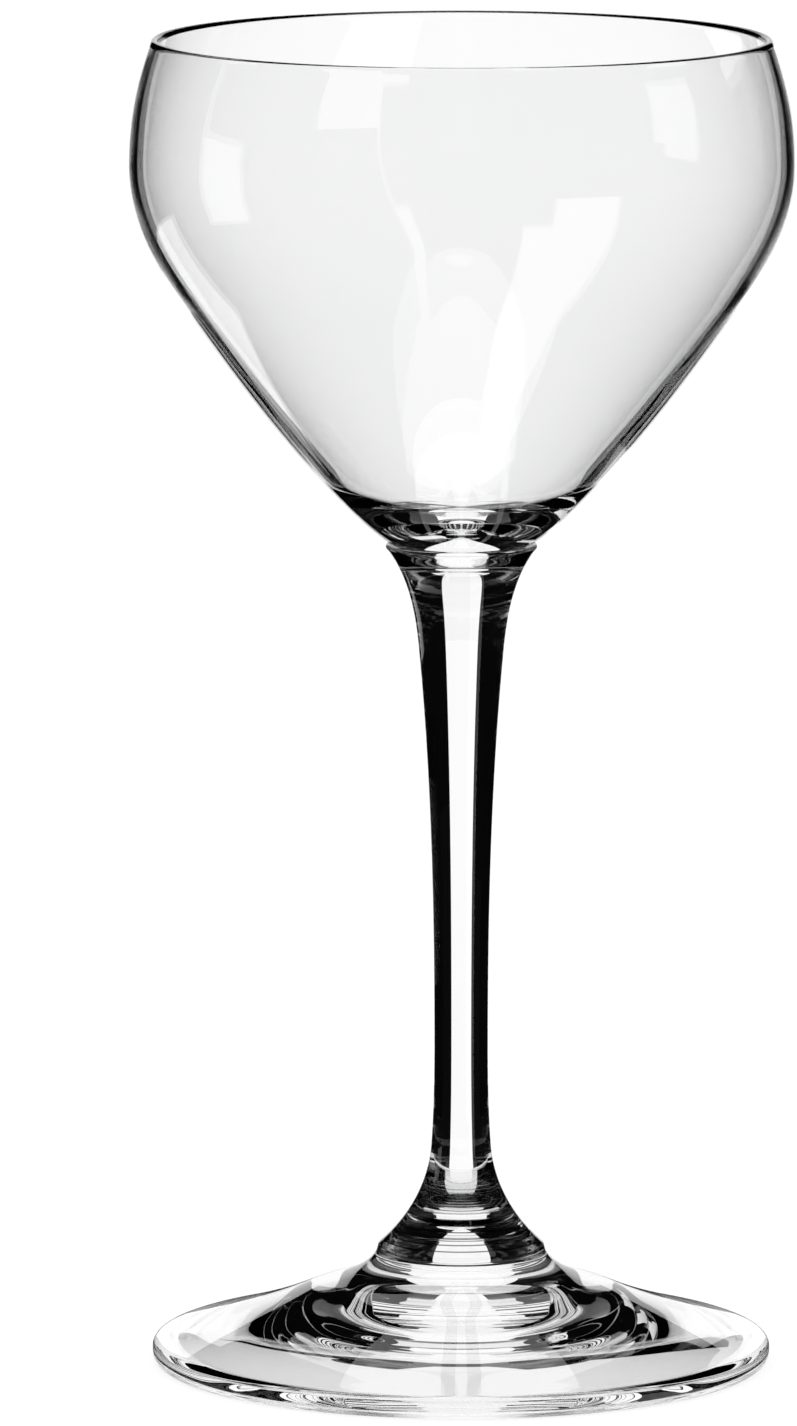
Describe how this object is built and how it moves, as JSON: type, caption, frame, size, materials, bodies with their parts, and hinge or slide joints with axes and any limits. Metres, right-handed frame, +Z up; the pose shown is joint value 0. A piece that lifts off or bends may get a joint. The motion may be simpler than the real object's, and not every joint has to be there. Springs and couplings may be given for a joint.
{
  "type": "nick and nora glass",
  "caption": "Stemmed cocktail glass for a short drink: a deep round bowl that closes towards its rim, a slender solid stem and a round foot.",
  "frame": {"origin": "centre of the foot, at the height of the table it stands on", "axes": "+Z up along the glass's axis of symmetry, from the foot to the rim; the glass is round, so X and Y are free"},
  "size_m": [0.077, 0.077, 0.155],
  "materials": {
    "clear_glass": "clear, fire polished, colourless"
  },
  "bodies": {
    "root": {"bowl": "clear_glass", "stem": "clear_glass", "foot": "clear_glass"}
  },
  "joints": []
}
